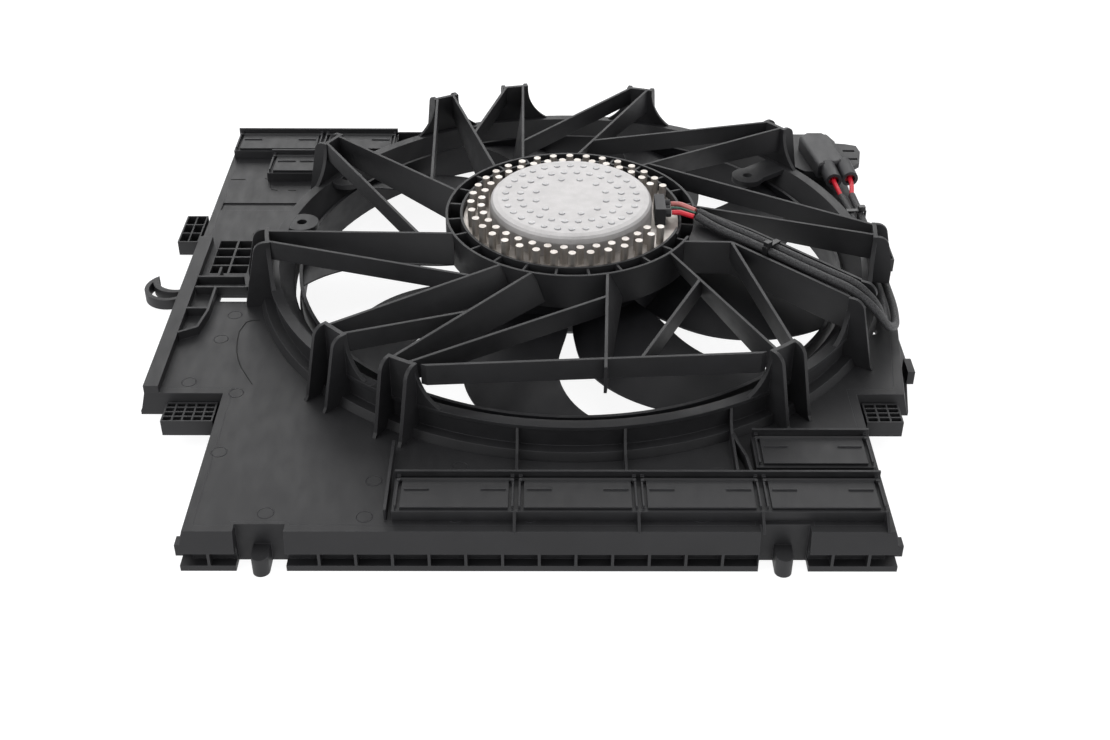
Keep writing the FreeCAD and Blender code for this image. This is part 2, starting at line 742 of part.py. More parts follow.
def make_channel(taken):
    """The wide strut that is also the cable's tray: a floor between two low walls, over two deep ribs."""
    field = tube_between(tower_radius.value, carrier_radius.value, 0, strut_top.value)
    half = cable_tower_half.value - gusset_thickness.value / 2
    centre = at(tower_radius.value + 6, towers[0][1].value)
    side = at(half, towers[0][1].value + 90)
    near_end = centre - side
    far_end = centre + side
    near_root = at(carrier_radius.value - 4, -30)
    far_root = at(carrier_radius.value - 4, 4)
    floor_points = [near_root, channel_corner, near_end, far_end, upper_corner, far_root]
    floor_low = strut_top.value - channel_depth.value - channel_floor.value
    lifted = [point + Vector(0, 0, floor_low) for point in floor_points]
    parts = [polygon_prism(lifted, Vector(0, 0, channel_floor.value))]
    for first, second, third in ((near_root, channel_corner, near_end), (far_root, upper_corner, far_end)):
        parts.append(plank(first, second, channel_rib_depth.value, strut_thickness.value))
        parts.append(plank(second, third, channel_rib_depth.value, strut_thickness.value))
        parts.append(Part.makeCylinder(strut_thickness.value / 2, channel_rib_depth.value,
                                       second + Vector(0, 0, (strut_top - channel_rib_depth).value)))
    shape = parts[0].multiFuse(parts[1:]).common(field)
    for other in taken:
        if shape.BoundBox.intersect(other.BoundBox):
            shape = shape.cut(other)
    node("cable_channel", shaped("channel", largest(shape.removeSplitter())))


def make_carrier():
    """The double-walled ring that the struts meet, with the seat for the motor inside it."""
    low = strut_top - carrier_depth
    outer_wall = ring("carrier_outer", carrier_radius, carrier_radius - carrier_wall, low, strut_top)
    inner_wall = ring("carrier_inner", carrier_inner + carrier_wall, carrier_inner, low, strut_top)
    floor = ring("carrier_floor", carrier_radius - 1, carrier_inner + 1, low, low + carrier_wall)
    seat_low = plate_bottom - carrier_wall
    seat = ring("carrier_seat", carrier_inner + 1, carrier_inner - carrier_seat_width, seat_low, plate_bottom)
    count = 24
    rib = Part.makeBox(carrier_gap.value + 2, 2, carrier_depth.value - 1,
                       Vector(carrier_inner.value + carrier_wall.value - 1, -1, low.value))
    ribs = shaped("carrier_ribs", Part.makeCompound([turned(rib, 7.5 + 360 / count * place)
                                                     for place in range(count)]))
    whole = fuse("carrier_whole", [outer_wall, inner_wall, floor, seat, ribs])
    mouth = box("carrier_mouth", (carrier_inner - 4, carrier_radius + 4), (-44, 8),
                (strut_top - channel_depth, strut_top + 5))
    node("motor_carrier", cut("carrier", whole, mouth))


def make_heat_sink():
    """The motor's aluminium base: a round plate with rings of cooling pins and the bearing tube below it."""
    body = doc.addObject("PartDesign::Body", "heat_sink_body")
    tube_bottom = bell_bottom + bell_wall + 3
    profile = body_sketch(body, "heat_sink_profile", "XZ_Plane", [
        (bearing_radius, tube_bottom), (tube_radius, tube_bottom), (tube_radius, plate_bottom),
        (carrier_inner - plate_clearance, plate_bottom), (carrier_inner - plate_clearance, plate_top),
        (0, plate_top), (0, plate_bottom), (bearing_radius, plate_bottom)])
    plate = body.newObject("PartDesign::Revolution", "heat_sink_plate")
    plate.Profile = profile
    plate.ReferenceAxis = (profile, ["V_Axis"])
    plate.Angle = 360
    doc.recompute()
    latest = plate
    for name, circle, first_angle in (("outer", outer_pin_circle, 20.0), ("inner", inner_pin_circle, 25.0)):
        spot = body.newObject("Sketcher::SketchObject", f"{name}_pin_spot")
        plane = [item for item in body.Origin.OriginFeatures if item.Role == "XY_Plane"][0]
        spot.AttachmentSupport = [(plane, "")]
        spot.MapMode = "FlatFace"
        bind(spot, **{"AttachmentOffset.Base.z": plate_top - 0.5})
        spot.AttachmentOffset = Placement(Vector(0, 0, plate_top.value - 0.5), Rotation(UP, first_angle))
        spot.addGeometry(Part.Circle(Vector(circle.value, 0, 0), UP, pin_radius.value), False)
        for kind, amount in (("Radius", pin_radius), ("DistanceX", circle)):
            if kind == "Radius":
                held = spot.addConstraint(Sketcher.Constraint(kind, 0, amount.value))
            else:
                held = spot.addConstraint(Sketcher.Constraint(kind, -1, 1, 0, 3, amount.value))
            spot.setExpression(f"Constraints[{held}]", amount.text)
        spot.addConstraint(Sketcher.Constraint("PointOnObject", 0, 3, -1))
        pin = body.newObject("PartDesign::Pad", f"{name}_pin")
        pin.Profile = spot
        bind(pin, Length=pin_height + 0.5)
        doc.recompute()
        pins = body.newObject("PartDesign::PolarPattern", f"{name}_pins")
        pins.Originals = [pin]
        pins.Axis = (spot, ["N_Axis"])
        pins.Angle = 310 if name == "outer" else 300
        pins.Occurrences = 32 if name == "outer" else 31
        body.Tip = pins
        doc.recompute()
        latest = pins
    body.Tip = latest
    node("heat_sink", body)


# Rings of small studs on the cover: the ring's radius and how many studs stand on it
stud_rings = [(57.5, 30), (44.5, 24), (31.5, 12)]


def make_cover():
    """The pale dome over the electronics: a shell with a round shoulder."""
    top = plate_top + cover_height
    outer = cover_radius
    edge = cover_edge
    body = doc.addObject("PartDesign::Body", "cover_body")
    profile = body_sketch(body, "cover_profile", "XZ_Plane", [
        (0, top), (outer - edge, top), (outer - edge * 0.38, top - edge * 0.13),
        (outer - edge * 0.13, top - edge * 0.38),
        (outer, top - edge), (outer, plate_top), (outer - cover_wall, plate_top),
        (outer - cover_wall, top - edge), (outer - cover_wall - edge * 0.3, top - cover_wall - edge * 0.3),
        (outer - edge, top - cover_wall), (0, top - cover_wall)])
    dome = body.newObject("PartDesign::Revolution", "cover_dome")
    dome.Profile = profile
    dome.ReferenceAxis = (profile, ["V_Axis"])
    dome.Angle = 360
    studs = []
    for circle, count in stud_rings:
        stud = Part.makeCone(stud_radius.value, stud_radius.value * 0.7, stud_height.value + 1,
                             Vector(circle, 0, top.value - 1))
        studs.extend(turned(stud, 360 / count * (place + 0.5)) for place in range(count))
    node("electronics_cover", fuse("cover", [body, shaped("cover_studs", Part.makeCompound(studs))]))


def make_electronics():
    board_low = plate_top + 5
    board = cylinder("board_disc", cover_radius - cover_wall - 3, board_low, board_low + 1.6)
    node("circuit_board", board)
    posts = [cylinder(f"post_{number}", 3, plate_top, board_low, at(58, 45 + 90 * number).x,
                      at(58, 45 + 90 * number).y) for number in range(4)]
    node("board_posts", compound("board_post_group", posts))
    cans = [cylinder(f"can_{number}", 6, board_low + 1.6, plate_top + cover_height - cover_wall - 1.5,
                     at(34, 30 + 60 * number).x, at(34, 30 + 60 * number).y) for number in range(4)]
    node("capacitors", compound("capacitor_group", cans))


def compound(name, items):
    group = doc.addObject("Part::Compound", name)
    group.Links = items
    return group


def make_motor():
    """Stator core with its windings on the bearing tube; bell, magnets and shaft that turn round it."""
    core_top = plate_bottom - 8
    core_bottom = core_top - core_height
    inner = tube_radius.value
    outer = core_radius.value
    teeth = 12
    yoke = tube_between(inner + 9, inner, core_bottom.value, core_top.value)
    tooth = Part.makeBox(outer - inner - 10, 7, core_height.value, Vector(inner + 7, -3.5, core_bottom.value))
    shoe = tube_between(outer, outer - 4, core_bottom.value, core_top.value)
    slot = Part.makeBox(20, 4, core_height.value, Vector(outer - 12, -2, core_bottom.value))
    core = yoke.multiFuse([turned(tooth, 360 / teeth * place) for place in range(teeth)] + [shoe])
    core = core.cut(Part.makeCompound([turned(slot, 360 / teeth * (place + 0.5)) for place in range(teeth)]))
    node("stator_core", shaped("core", core.removeSplitter()))
    coil_start = inner + 10
    coil_length = outer - 6 - coil_start
    coil_outer = Part.makeBox(coil_length, 12, core_height.value + 6, Vector(coil_start, -6, core_bottom.value - 3))
    coil_inner = Part.makeBox(coil_length, 7, core_height.value, Vector(coil_start, -3.5, core_bottom.value))
    coil = coil_outer.cut(coil_inner)
    wedge = Part.makeCylinder(outer - 5, 60, Vector(0, 0, core_bottom.value - 10), UP, 360 / teeth - 2)
    wedge.rotate(Vector(0, 0, 0), UP, -(360 / teeth - 2) / 2)
    coil = coil.common(wedge)
    coils = [turned(coil, 360 / teeth * place) for place in range(teeth)]
    node("stator_windings", shaped("windings", Part.makeCompound(coils)))
    bell_outer = bell_inner + bell_wall
    bell_floor = bell_bottom + bell_wall
    boss = shaft_radius + 4
    node("rotor_bell", revolve("bell", [
        (shaft_radius, bell_bottom), (bell_outer, bell_bottom), (bell_outer, bell_top), (bell_inner, bell_top),
        (bell_inner, bell_floor), (boss, bell_floor), (boss, bell_floor + 2), (shaft_radius, bell_floor + 2)]))
    poles = 10
    block = Part.makeCylinder(bell_inner.value, core_height.value + 4, Vector(0, 0, core_bottom.value - 2), UP,
                              360 / poles - 3)
    block = block.cut(Part.makeCylinder(bell_inner.value - magnet_thickness.value, 200))
    node("rotor_magnets", shaped("magnets", Part.makeCompound([turned(block, 360 / poles * place)
                                                               for place in range(poles)])))
    tube_bottom = bell_bottom + bell_wall + 3
    shaft_top = plate_bottom - 1
    node("motor_shaft", cylinder("shaft", shaft_radius, bell_bottom - 6, shaft_top))
    bore = shaft_radius + running_clearance
    for name, low in (("lower_bearing", tube_bottom + 1), ("upper_bearing", plate_bottom - 4 - bearing_width)):
        node(name, ring(name + "_ring", bearing_radius, bore, low, low + bearing_width))
    clip_top = plate_bottom - 2.4
    node("shaft_clip", ring("clip_ring", shaft_radius + 2.5, shaft_radius, clip_top - 1.2, clip_top))


def make_motor_screws():
    """Four screws up through the carrier's seat into the motor's plate."""
    shapes = []
    for number in range(4):
        place = at((carrier_inner - carrier_seat_width / 2).value - 1, 45 + 90 * number)
        seat = (plate_bottom - carrier_wall).value
        head = Part.makeCylinder(4.2, 3, place + Vector(0, 0, seat - 3))
        shapes.append(head)
    node("motor_screws", shaped("screws", Part.makeCompound(shapes)))


def blade_turn(radius, points):
    """Angle at a radius, read between the named points of the blade's edge."""
    for (near, start), (far, end) in zip(points, points[1:]):
        if radius <= far:
            return start + (end - start) * (radius - near) / (far - near)
    return points[-1][1]


low_edge = [(80, -12.5), (122, -12), (150, -9.6), (170, -6.5), (190, -2.4), (208, 2.1), (225, 7.2), (245, 14.2)]
high_edge = [(80, 25), (122, 23.5), (150, 21.5), (170, 21.4), (190, 22.2), (208, 24.1), (225, 26.5), (245, 30.4)]
blade_angles = [12, 50, 84, 118.3, 162.8, 203.6, 244.5, 283.3, 327.2]


def blade_section(radius):
    start = blade_turn(radius, low_edge)
    end = blade_turn(radius, high_edge)
    high = blade_high.value
    low = blade_low.value
    half = blade_thickness.value / 2
    upper = []
    lower = []
    for step in range(5):
        share = step / 4
        angle = start + (end - start) * share
        height = low + (high - low) * (share + 0.1 * math.sin(math.pi * share))
        taper = half * (0.45 + 0.55 * math.sin(math.pi * min(1, share + 0.12)))
        upper.append(at(radius, angle, height + taper))
        lower.append(at(radius, angle, height - taper))
    top = Part.BSplineCurve()
    top.interpolate(upper)
    bottom = Part.BSplineCurve()
    bottom.interpolate(lower[::-1])
    edges = [top.toShape(), Part.LineSegment(upper[-1], lower[-1]).toShape(), bottom.toShape(),
             Part.LineSegment(lower[0], upper[0]).toShape()]
    return Part.Wire(edges)


def make_rotor():
    """Hub, swept blades and band of the rotor; blades are spaced unevenly, as such fans' are."""
    hub_top = hub_bottom + hub_height
    raised = bell_bottom
    node("fan_hub", revolve("hub", [
        (shaft_radius + 3.5, raised - hub_wall), (36, raised - hub_wall), (41, hub_bottom), (hub_radius - 6, hub_bottom),
        (hub_radius, hub_bottom + 6), (hub_radius, hub_top), (hub_radius - hub_wall, hub_top),
        (hub_radius - hub_wall, hub_bottom + 7.5), (hub_radius - 7.5, hub_bottom + hub_wall),
        (43.5, hub_bottom + hub_wall), (38.5, raised), (shaft_radius + 3.5, raised)]))
    radii = [hub_radius.value - 3, 112, 135, 158, 182, 205, 225, band_inner.value + 2]
    loft = Part.makeLoft([blade_section(radius) for radius in radii], True, False)
    field = tube_between(band_inner.value, hub_radius.value, 0, 200)
    blade = largest(loft.common(field))
    node("fan_blades", shaped("blades", Part.makeCompound([turned(blade, angle) for angle in blade_angles])))
    node("fan_band", revolve("band", [
        (band_inner, band_bottom), (band_outer + 2, band_bottom), (band_outer + 2, band_bottom + 2.5),
        (band_outer, band_bottom + 2.5), (band_outer, band_bottom + band_height),
        (band_inner, band_bottom + band_height)]))
    nut = Part.makeCylinder(7.5, 3, Vector(0, 0, (raised - hub_wall).value - 3))
    nut = nut.cut(Part.makeCylinder(shaft_radius.value, 3, Vector(0, 0, (raised - hub_wall).value - 3)))
    node("hub_nut", shaped("nut", nut))
    screws = []
    for number in range(3):
        place = at(24, 30 + 120 * number, (raised - hub_wall).value - 2.5)
        screws.append(Part.makeCylinder(4, 2.5, place))
    node("hub_screws", shaped("hub_screw_heads", Part.makeCompound(screws)))


def vent_frame(name, windows):
    """A raised frame round a group of windows, with a hinge wall and hinge ears behind each window."""
    seat_top = panel_top + flap_rise
    solids = []
    holes = []
    for number, (left, length, line) in enumerate(windows):
        right = left + length
        solids.append(box(f"{name}_block_{number}", (left - divider_width / 2, right + divider_width / 2),
                          (line - flap_depth - 2.5, line + 2), (panel_top, seat_top)))
        solids.append(box(f"{name}_wall_{number}", (left - divider_width / 2, right + divider_width / 2),
                          (line, line + 2), (panel_top, panel_top + hinge_wall_rise)))
        holes.append(box(f"{name}_window_{number}", (left + flap_seat, right - flap_seat),
                         (line - flap_depth + flap_seat, line - flap_seat), (0, panel_top * 2)))
        axis_height = seat_top + flap_gap + hinge_radius
        front = line - flap_depth - 2.5
        fin = [(front, panel_top), (front, seat_top), (front - 14, panel_top)]
        solids.append(shaped(f"{name}_fin_{number}", polygon_prism(
            [Vector((right + divider_width / 2 - 2).value, as_size(y).value, as_size(z).value) for y, z in fin],
            Vector(2, 0, 0))))
        for side, low in (("left", left - 3), ("right", right + 1.6)):
            solids.append(box(f"{name}_{side}_rail_{number}", (low, low + 1.4),
                              (line - flap_depth, line - hinge_setback * 2), (seat_top - 1, seat_top + 3.5)))
        for side, low in (("left", left - 3), ("right", right + 0.5)):
            solids.append(box(f"{name}_{side}_ear_{number}", (low, low + 2.5), (line - hinge_setback * 2, line),
                              (seat_top - 1, axis_height + 2.2)))
        bore = doc.addObject("Part::Cylinder", f"{name}_bore_{number}")
        bind(bore, Radius=hinge_radius + hinge_clearance, Height=length + 8)
        bore.Placement = Placement(Vector(0, 0, 0), Rotation(Vector(0, 1, 0), 90))
        move(bore, left - 4, line - hinge_setback, axis_height)
        holes.append(bore)
        holes.append(box(f"{name}_mouth_{number}", (left - 4, right + 4),
                         (line - hinge_setback - 1.1, line - hinge_setback + 1.1), (axis_height, axis_height + 4)))
    holes.append(shaped(f"{name}_throat_room", throat_envelope()))
    whole = fuse(f"{name}_solids", solids)
    node(name, cut(f"{name}_cut", whole, fuse(f"{name}_holes", holes)))


def flap(label, window):
    """A thin flap that rests on its window's edge and hangs on two stub pins at its rear corners."""
    left, length, line = window
    low = panel_top + flap_rise + flap_gap
    inside_left = left + flap_clearance
    inside_right = left + length - flap_clearance
    plate = box(f"{label}_plate", (inside_left, inside_right), (line - flap_depth, line - hinge_setback),
                (low, low + flap_thickness))
    pin = doc.addObject("Part::Cylinder", f"{label}_pin")
    bind(pin, Radius=hinge_radius, Height=length + 5)
    pin.Placement = Placement(Vector(0, 0, 0), Rotation(Vector(0, 1, 0), 90))
    move(pin, left - 2.5, line - hinge_setback, low + hinge_radius)
    ribs = []
    for side, start in (("left", inside_left + 2), ("right", inside_right - 20)):
        ribs.append(box(f"{label}_{side}_rib", (start, start + 18),
                        (line - flap_depth * 0.45, line - flap_depth * 0.45 + 1.4), (low, low + flap_thickness + 1)))
    node(label, fuse(f"{label}_whole", [plate, pin] + ribs))


def make_grid():
    """The open grid let into the left wing, under the level of the panel."""
    low = panel_top - grid_depth
    x = (-grid_right - grid_width, -grid_right)
    y = (-grid_front, grid_back)
    tray = box("grid_tray", x, y, (low, panel_top))
    cells = []
    for column in range(2):
        for row in range(4):
            width = (grid_width - 2) / 2
            depth = (grid_front + grid_back - 2) / 4
            cells.append(box(f"grid_cell_{column}_{row}",
                             (x[0] + 2 + width * column, x[0] + width * (column + 1)),
                             (y[0] + 2 + depth * row, y[0] + depth * (row + 1)), (low + 2, panel_top + 2)))
    node("wing_grid", cut("grid", tray, fuse("grid_cells", cells)))


def comb(name, x, y, z, columns, rows_across):
    """A small block of open cells."""
    body = box(f"{name}_body", x, y, z)
    width = (as_size(x[1]) - x[0] - 1.4) / columns
    depth = (as_size(y[1]) - y[0] - 1.4) / rows_across
    cells = []
    for column in range(columns):
        for row in range(rows_across):
            cells.append(box(f"{name}_cell_{column}_{row}",
                             (as_size(x[0]) + 1.4 + width * column, as_size(x[0]) + width * (column + 1)),
                             (as_size(y[0]) + 1.4 + depth * row, as_size(y[0]) + depth * (row + 1)),
                             (as_size(z[0]) + 1.6, as_size(z[1]) + 1)))
    return cut(name, body, fuse(f"{name}_cells", cells))


comb_depth = size("comb_depth", 25)
comb_top = size("comb_top", 28)


def make_combs():
    """Open-celled blocks at the wings' corners and a snap block on the left edge."""
    back_edge = -wing_front - band_flare
    items = [comb("left_comb", (-324, -front_left - band_flare), (back_edge - comb_depth, back_edge),
                  (pocket_top - 2, comb_top), 5, 4),
             comb("right_comb", (front_right + band_flare, 260), (back_edge - comb_depth, back_edge),
                  (pocket_top - 2, comb_top), 3, 4),
             comb("side_comb", (right_wing + flange_reach, right_wing + flange_reach + 17), (52, 82), (2, 15), 3, 2),
             comb("left_snap", (-left_wing - flange_reach - 20, -left_wing - flange_reach), (80, 130),
                  (flange_thickness - 2, pocket_top), 2, 3),
             box("right_stub", (right_wing + 4, right_wing + flange_reach - 1), (-132, -112),
                 (flange_thickness, pocket_top))]
    node("edge_clips", compound("clip_group", items))


hook_radius = size("hook_radius", 23)


def make_hook():
    """The crescent hose hook on the left edge."""
    edge = -(left_wing + flange_reach).value
    outer = hook_radius.value
    centre = Vector(edge - 12, 6, 2)
    low = 10
    ringed = Part.makeCylinder(outer, low, centre)
    bite = Part.makeCylinder(outer - 3, low, centre + Vector(6, 15, 0))
    crescent = ringed.cut(bite)
    slot_outer = Part.makeCylinder(outer - 4, low, centre)
    slot_bite = Part.makeCylinder(outer - 1.5, low, centre + Vector(4, 12, 0))
    crescent = crescent.cut(slot_outer.cut(slot_bite))
    crescent = crescent.cut(Part.makeBox(80, 120, 40, Vector(edge, -60, -5)))
    node("hose_hook", shaped("hook", largest(crescent)))


tab_radius = size("tab_radius", 15)
tab_bore = size("tab_bore", 4.5)
tab_thickness = size("tab_thickness", 5)


# Where the tabs' bores stand: distance from the axis and angle
tab_places = [(248.5, 149.3), (248.5, 170.4), (219.4, 37.9)]


def make_tabs():
    """Three round-ended fixing tabs that reach inwards from the throat's lip, each with a through bore."""
    shapes = []
    thickness = tab_thickness.value
    radius = tab_radius.value
    for distance, angle in tab_places:
        centre = Vector(distance, 0, lip_top.value - thickness)
        disc = Part.makeCylinder(radius, thickness, centre)
        neck = Part.makeBox(258 - distance, radius * 1.7, thickness, centre - Vector(0, radius * 0.85, 0))
        tab = disc.fuse(neck).cut(Part.makeCylinder(tab_bore.value, thickness, centre))
        shapes.append(largest(turned(tab, angle).cut(throat_envelope())))
    node("fixing_tabs", shaped("tabs", Part.makeCompound(shapes)))


connector_gap = size("connector_gap", 2.5)
connector_side = cover_radius + connector_gap
connector_width = size("connector_width", 28)


def make_connector():
    """The motor's plug block on its base plate, with three round sockets that face outwards."""
    top = plate_top + 16
    block = box("connector_block", (connector_side, connector_side + 9), (-connector_width / 2, connector_width / 2),
                (plate_top, top))
    sockets = []
    for number, (across, radius) in enumerate(((8.5, 4), (0.5, 2.4), (-7, 4))):
        socket = doc.addObject("Part::Cylinder", f"socket_{number}")
        bind(socket, Radius=radius, Height=5)
        socket.Placement = Placement(Vector(0, 0, 0), Rotation(Vector(0, 1, 0), 90))
        move(socket, connector_side + 9, across, plate_top + 9)
        sockets.append(socket)
    node("motor_connector", fuse("connector", [block] + sockets))


def make_wires():
    """Two thick and two thin wires from the motor's sockets to the mouths of the sleeves."""
    start = (connector_side + 14.7).value
    height = (plate_top + 9).value
    thick = wire_diameter.value
    thin = signal_diameter.value
    runs = [("wire_red", thick, -7, Vector(95.5, -7.4, height + 0.3), Vector(107.2, -12.6, 97)),
            ("wire_pink", thick, 8.5, Vector(97, 6, height + 1), Vector(109.3, -3.2, 98)),
            ("wire_green", thin, 1.6, Vector(97.5, 0.5, height), Vector(109, -7.6, 97.8)),
            ("wire_black", thin, -0.8, Vector(97.5, -2.4, height - 1), Vector(108.4, -9.6, 95.4))]
    for label, diameter, across, bend, end in runs:
        leaving = Vector(start, across, height)
        node(label, shaped(label, cord([leaving, leaving + Vector(4, 0, 0), bend, end], diameter)))


def make_plug():
    """The cable's plug on its raised bracket at the back right corner, with two wire tubes."""
    bracket = extrude("bracket", [(223, 188), (236, 174), (262, 172), (276, 190), (276, 240), (270, 256),
                                  (226, 256)], panel_top, platform_top)
    node("plug_bracket", bracket)
    shell = extrude("plug_shell", [(246, 160), (274, 168), (265, 224), (260, 231), (244, 231), (236, 222)],
                    platform_top, platform_top + 15)
    rounded = doc.addObject("Part::Fillet", "plug_shell_rounded")
    rounded.Base = shell
    edges = [(number + 1, 3.0, 3.0) for number, edge in enumerate(shell_edges(shell))
             if edge.BoundBox.ZLength < 0.01 and edge.BoundBox.ZMin > platform_top.value + 10]
    rounded.Edges = edges
    node("plug_housing", rounded)
    tubes = []
    seals = []
    lead = Vector(0.1, -1, -0.06).normalize()
    for start in plug_tube_starts:
        tube = Part.makeCylinder(plug_tube_radius.value, 28, start, lead)
        bore = Part.makeCylinder(plug_bore_radius.value, 12, start + lead * 16, lead)
        under = Part.makeBox(200, 200, 20, Vector(150, 100, platform_top.value - 20))
        tubes.append(tube.cut(bore).cut(shell.Shape).cut(under))
        seal = Part.makeCylinder(plug_bore_radius.value, 5, start + lead * 18, lead)
        seals.append(seal.cut(Part.makeCylinder(wire_diameter.value / 2, 5, start + lead * 18, lead)))
    node("plug_tubes", shaped("tubes", Part.makeCompound([largest(tube) for tube in tubes])))
    node("plug_seals", shaped("seals", Part.makeCompound(seals)))
    wires = []
    for start, mouth in zip(plug_tube_starts, sleeve_mouths):
        leaving = start + lead * 18
        bend = leaving + lead * 16
        wires.append(cord([leaving, bend, mouth + (bend - mouth).normalize() * 0.8], wire_diameter.value))
    node("plug_wires", shaped("wires_at_plug", Part.makeCompound(wires)))


def shell_edges(feature):
    doc.recompute()
    return feature.Shape.Edges


plug_tube_starts = [Vector(256, 168, 52.5), Vector(272.5, 172, 52.5)]
sleeve_mouths = [Vector(263, 118, 46), Vector(273.5, 120, 46)]


def cord_path(points):
    """Straight runs joined by tangent arcs, each as large as its two runs allow."""
    edges = []
    last = points[0]
    radii = []
    for before, corner, after in zip(points, points[1:], points[2:]):
        incoming = (corner - before).normalize()
        outgoing = (after - corner).normalize()
        turn = incoming.getAngle(outgoing)
        reach = 0.45 * min((corner - before).Length, (after - corner).Length)
        radii.append(reach / math.tan(turn / 2))
        start = corner - incoming * reach
        end = corner + outgoing * reach
        inward = (outgoing - incoming).normalize()
        centre = corner + inward * (radii[-1] / math.cos(turn / 2))
        middle = centre - inward * radii[-1]
        edges.append(Part.LineSegment(last, start).toShape())
        edges.append(Part.Arc(start, middle, end).toShape())
        last = end
    edges.append(Part.LineSegment(last, points[-1]).toShape())
    print("bend radii:", [round(radius, 1) for radius in radii])
    return Part.Wire(edges)


def cord(points, diameter):
    path = cord_path(points)
    direction = (points[1] - points[0]).normalize()
    circle = Part.Wire(Part.Circle(points[0], direction, diameter / 2).toShape())
    tube = path.makePipeShell([circle], True, False, 2)
    expected = math.pi * diameter ** 2 / 4 * path.Length
    print("cord length", round(path.Length, 1), "volume share", round(tube.Volume / expected, 4))
    return tube


def make_harness():
    """Two sleeved cables from the motor along the tray, round a loop and back to the plug."""
    first = [Vector(112, -6, 98), Vector(133, -25.5, 96), Vector(158, -46, 95), Vector(178, -67, 95),
             Vector(203, -93, 95.3), Vector(231, -123.5, 97.4), Vector(246, -131, 84.5), Vector(256.5, -120, 61),
             Vector(264, -101, 47.5), Vector(268, -72, 45.3), Vector(268, -30, 45.2), Vector(268, 15, 45.2),
             Vector(268.3, 50, 45.3), Vector(267, 86, 45.6), sleeve_mouths[0]]
    second = [Vector(110, -14.5, 98), Vector(127, -33, 96), Vector(152, -53, 95), Vector(172, -73.5, 95),
              Vector(197, -99.5, 95.3), Vector(225, -131, 97.4), Vector(242, -139, 86), Vector(258.5, -133, 62),
              Vector(271, -112, 48.5), Vector(276.3, -78, 45.3), Vector(276.3, -30, 45.2), Vector(276.3, 15, 45.2),
              Vector(276.6, 50, 45.3), Vector(275.5, 86, 45.6), sleeve_mouths[1]]
    node("cable_sleeve_inner", shaped("sleeve_inner", cord(first, sleeve_diameter.value)))
    node("cable_sleeve_outer", shaped("sleeve_outer", cord(second, sleeve_diameter.value)))


def make_ties():
    """Ties that hold the two sleeves together, with their square heads."""
    shapes = []
    for centre, direction in ((Vector(168.3, -63.4, 95.2), Vector(25, -26, 0)),
                              (Vector(271.15, 84, 45.6), Vector(-0.03, 1, 0))):
        along = Vector(direction).normalize()
        across = along.cross(UP).normalize()
        outer = Part.makeBox(18.4, 5, 9.6, Vector(-9.2, -2.5, -4.8))
        inner = Part.makeBox(16.4, 5, 7.6, Vector(-8.2, -2.5, -3.8))
        head = Part.makeBox(6, 5, 4, Vector(2, -2.5, 4.8))
        loop = outer.cut(inner).fuse(head)
        frame = Matrix(across.x, along.x, 0, centre.x, across.y, along.y, 0, centre.y, 0, 0, 1, centre.z, 0, 0, 0, 1)
        shapes.append(loop.transformGeometry(frame))
    node("cable_ties", shaped("ties", Part.makeCompound(shapes)))


for build in (make_panel, make_rim, make_throat):
    build()
tower_shapes = make_towers()
strut_shapes = make_struts()
make_channel(strut_shapes)
make_carrier()
make_heat_sink()
make_cover()
make_electronics()
make_motor()
make_motor_screws()
make_rotor()
vent_frame("front_vent_frame", front_windows)
vent_frame("rear_vent_frame", rear_windows)
for number, window in enumerate(front_windows):
    flap(f"front_flap_{number + 1}", window)
for number, window in enumerate(rear_windows):
    flap(f"rear_flap_{number + 1}", window)
make_grid()
make_combs()
make_hook()
doc.recompute()
make_tabs()
make_connector()
make_wires()
make_plug()
make_harness()
make_ties()

doc.recompute()
for item in doc.Objects:
    if "Invalid" in item.State or "Error" in item.State:
        raise ValueError(f"{item.Name} failed: {item.State}")
for label, feature in nodes.items():
    shape = feature.Shape
    if shape.isNull() or not shape.isValid():
        raise ValueError(f"{label} is not a valid solid")

os.makedirs("parts", exist_ok=True)
for label, feature in nodes.items():
    feature.Shape.exportStep(f"parts/{label}.step")
print(len(nodes), "nodes written")
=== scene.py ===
"""Looks of the radiator cooling fan: materials, small surface details, light and camera.

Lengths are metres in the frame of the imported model: X right, Y away from the camera, Z up. The origin is on
the fan's axis, at the rim's lowest plane.
"""
import math

import bpy
import bmesh
from mathutils import Matrix, Vector


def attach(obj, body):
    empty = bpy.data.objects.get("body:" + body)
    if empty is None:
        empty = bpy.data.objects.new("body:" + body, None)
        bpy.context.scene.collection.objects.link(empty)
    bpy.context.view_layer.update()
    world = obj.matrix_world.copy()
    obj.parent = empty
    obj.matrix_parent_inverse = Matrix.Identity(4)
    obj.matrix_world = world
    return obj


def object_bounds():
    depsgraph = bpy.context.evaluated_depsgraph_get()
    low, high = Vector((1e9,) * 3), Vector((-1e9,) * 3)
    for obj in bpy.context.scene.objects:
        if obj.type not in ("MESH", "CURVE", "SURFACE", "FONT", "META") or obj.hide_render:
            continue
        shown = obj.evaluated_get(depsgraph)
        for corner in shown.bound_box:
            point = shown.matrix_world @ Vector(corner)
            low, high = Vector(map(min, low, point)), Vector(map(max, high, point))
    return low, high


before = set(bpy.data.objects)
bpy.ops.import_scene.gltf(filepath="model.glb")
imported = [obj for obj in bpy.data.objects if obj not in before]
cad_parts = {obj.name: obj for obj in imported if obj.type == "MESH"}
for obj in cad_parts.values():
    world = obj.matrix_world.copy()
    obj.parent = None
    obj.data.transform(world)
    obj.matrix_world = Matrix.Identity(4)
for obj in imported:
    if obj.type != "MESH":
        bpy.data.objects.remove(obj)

CAD_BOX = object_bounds()
MM = 0.001


# ---------------------------------------------------------------- camera, light, floor

